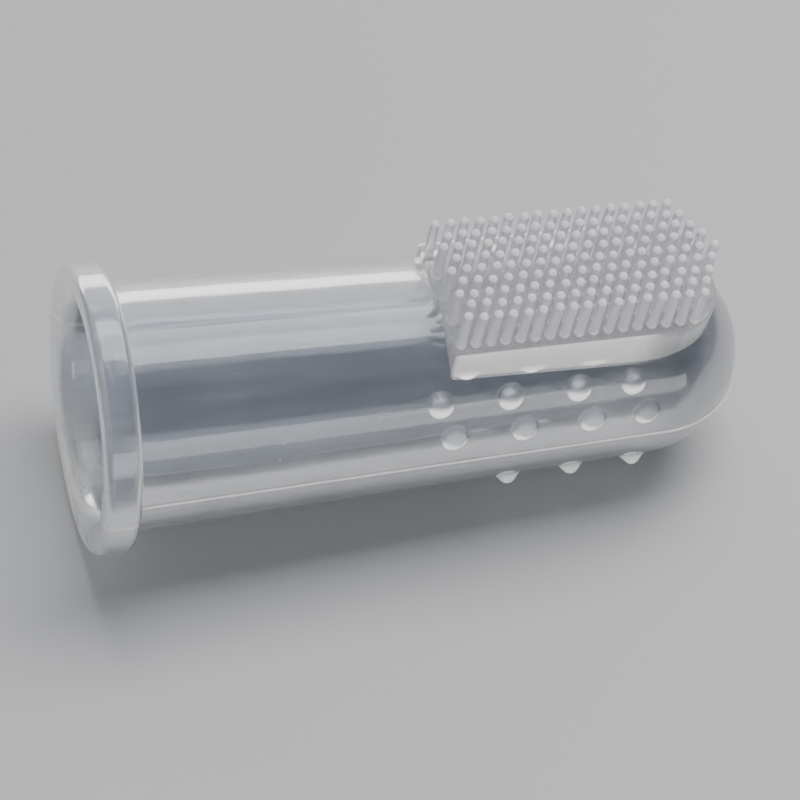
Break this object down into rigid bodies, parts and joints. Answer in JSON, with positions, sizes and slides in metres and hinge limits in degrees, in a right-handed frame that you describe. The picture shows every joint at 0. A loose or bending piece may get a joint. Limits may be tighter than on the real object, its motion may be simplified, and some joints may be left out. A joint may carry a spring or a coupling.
{
  "type": "pet finger toothbrush",
  "caption": "Clear silicone finger sleeve with a collared mouth, a domed tip, a D-shaped pad of short round bristles and rows of massage nubs.",
  "frame": {"origin": "centre of the open mouth, on the mouth's flat face", "axes": "+X along the finger sleeve from its mouth to its closed tip, +Z out of the brush pad along the bristles, +Y to the left"},
  "size_m": [0.0602, 0.0252, 0.0268],
  "materials": {
    "clear_silicone": "glossy clear silicone with a faint blue-grey haze",
    "milky_silicone": "glossy translucent silicone, milky where it is thick",
    "bristle_silicone": "satin translucent silicone"
  },
  "bodies": {
    "sleeve_moulding": {"finger_sleeve": "clear_silicone", "rim_collar": "milky_silicone", "brush_pad": "milky_silicone", "left_upper_nubs": "clear_silicone", "right_upper_nubs": "clear_silicone", "left_lower_nubs": "clear_silicone", "right_lower_nubs": "clear_silicone", "left_under_nubs": "clear_silicone", "right_under_nubs": "clear_silicone", "left_parting_line": "clear_silicone", "right_parting_line": "clear_silicone", "tip_parting_line": "clear_silicone"},
    "row_1": {"bristle_row_1": "bristle_silicone"},
    "row_2": {"bristle_row_2": "bristle_silicone"},
    "row_3": {"bristle_row_3": "bristle_silicone"},
    "row_4": {"bristle_row_4": "bristle_silicone"},
    "row_5": {"bristle_row_5": "bristle_silicone"},
    "row_6": {"bristle_row_6": "bristle_silicone"},
    "row_7": {"bristle_row_7": "bristle_silicone"},
    "row_8": {"bristle_row_8": "bristle_silicone"},
    "row_9": {"bristle_row_9": "bristle_silicone"}
  },
  "joints": [
    {"name": "row_1_lean", "type": "hinge", "parent": "sleeve_moulding", "child": "row_1", "pos_m": [0.043, 0.00512, 0.01015], "axis": [1, 0, 0], "range_deg": [-25, 25], "stiffness_Nm_per_rad": 0.0007},
    {"name": "row_2_lean", "type": "hinge", "parent": "sleeve_moulding", "child": "row_2", "pos_m": [0.043, 0.00384, 0.01015], "axis": [1, 0, 0], "range_deg": [-25, 25], "stiffness_Nm_per_rad": 0.0007},
    {"name": "row_3_lean", "type": "hinge", "parent": "sleeve_moulding", "child": "row_3", "pos_m": [0.043, 0.00256, 0.01015], "axis": [1, 0, 0], "range_deg": [-25, 25], "stiffness_Nm_per_rad": 0.0007},
    {"name": "row_4_lean", "type": "hinge", "parent": "sleeve_moulding", "child": "row_4", "pos_m": [0.043, 0.00128, 0.01015], "axis": [1, 0, 0], "range_deg": [-25, 25], "stiffness_Nm_per_rad": 0.0007},
    {"name": "row_5_lean", "type": "hinge", "parent": "sleeve_moulding", "child": "row_5", "pos_m": [0.043, 0, 0.01015], "axis": [1, 0, 0], "range_deg": [-25, 25], "stiffness_Nm_per_rad": 0.0007},
    {"name": "row_6_lean", "type": "hinge", "parent": "sleeve_moulding", "child": "row_6", "pos_m": [0.043, -0.00128, 0.01015], "axis": [1, 0, 0], "range_deg": [-25, 25], "stiffness_Nm_per_rad": 0.0007},
    {"name": "row_7_lean", "type": "hinge", "parent": "sleeve_moulding", "child": "row_7", "pos_m": [0.043, -0.00256, 0.01015], "axis": [1, 0, 0], "range_deg": [-25, 25], "stiffness_Nm_per_rad": 0.0007},
    {"name": "row_8_lean", "type": "hinge", "parent": "sleeve_moulding", "child": "row_8", "pos_m": [0.043, -0.00384, 0.01015], "axis": [1, 0, 0], "range_deg": [-25, 25], "stiffness_Nm_per_rad": 0.0007},
    {"name": "row_9_lean", "type": "hinge", "parent": "sleeve_moulding", "child": "row_9", "pos_m": [0.043, -0.00512, 0.01015], "axis": [1, 0, 0], "range_deg": [-25, 25], "stiffness_Nm_per_rad": 0.0007}
  ],
  "couplings": [
    {"joint": "row_1_lean", "follows": "row_5_lean", "ratio": 1},
    {"joint": "row_2_lean", "follows": "row_5_lean", "ratio": 1},
    {"joint": "row_3_lean", "follows": "row_5_lean", "ratio": 1},
    {"joint": "row_4_lean", "follows": "row_5_lean", "ratio": 1},
    {"joint": "row_6_lean", "follows": "row_5_lean", "ratio": 1},
    {"joint": "row_7_lean", "follows": "row_5_lean", "ratio": 1},
    {"joint": "row_8_lean", "follows": "row_5_lean", "ratio": 1},
    {"joint": "row_9_lean", "follows": "row_5_lean", "ratio": 1}
  ]
}
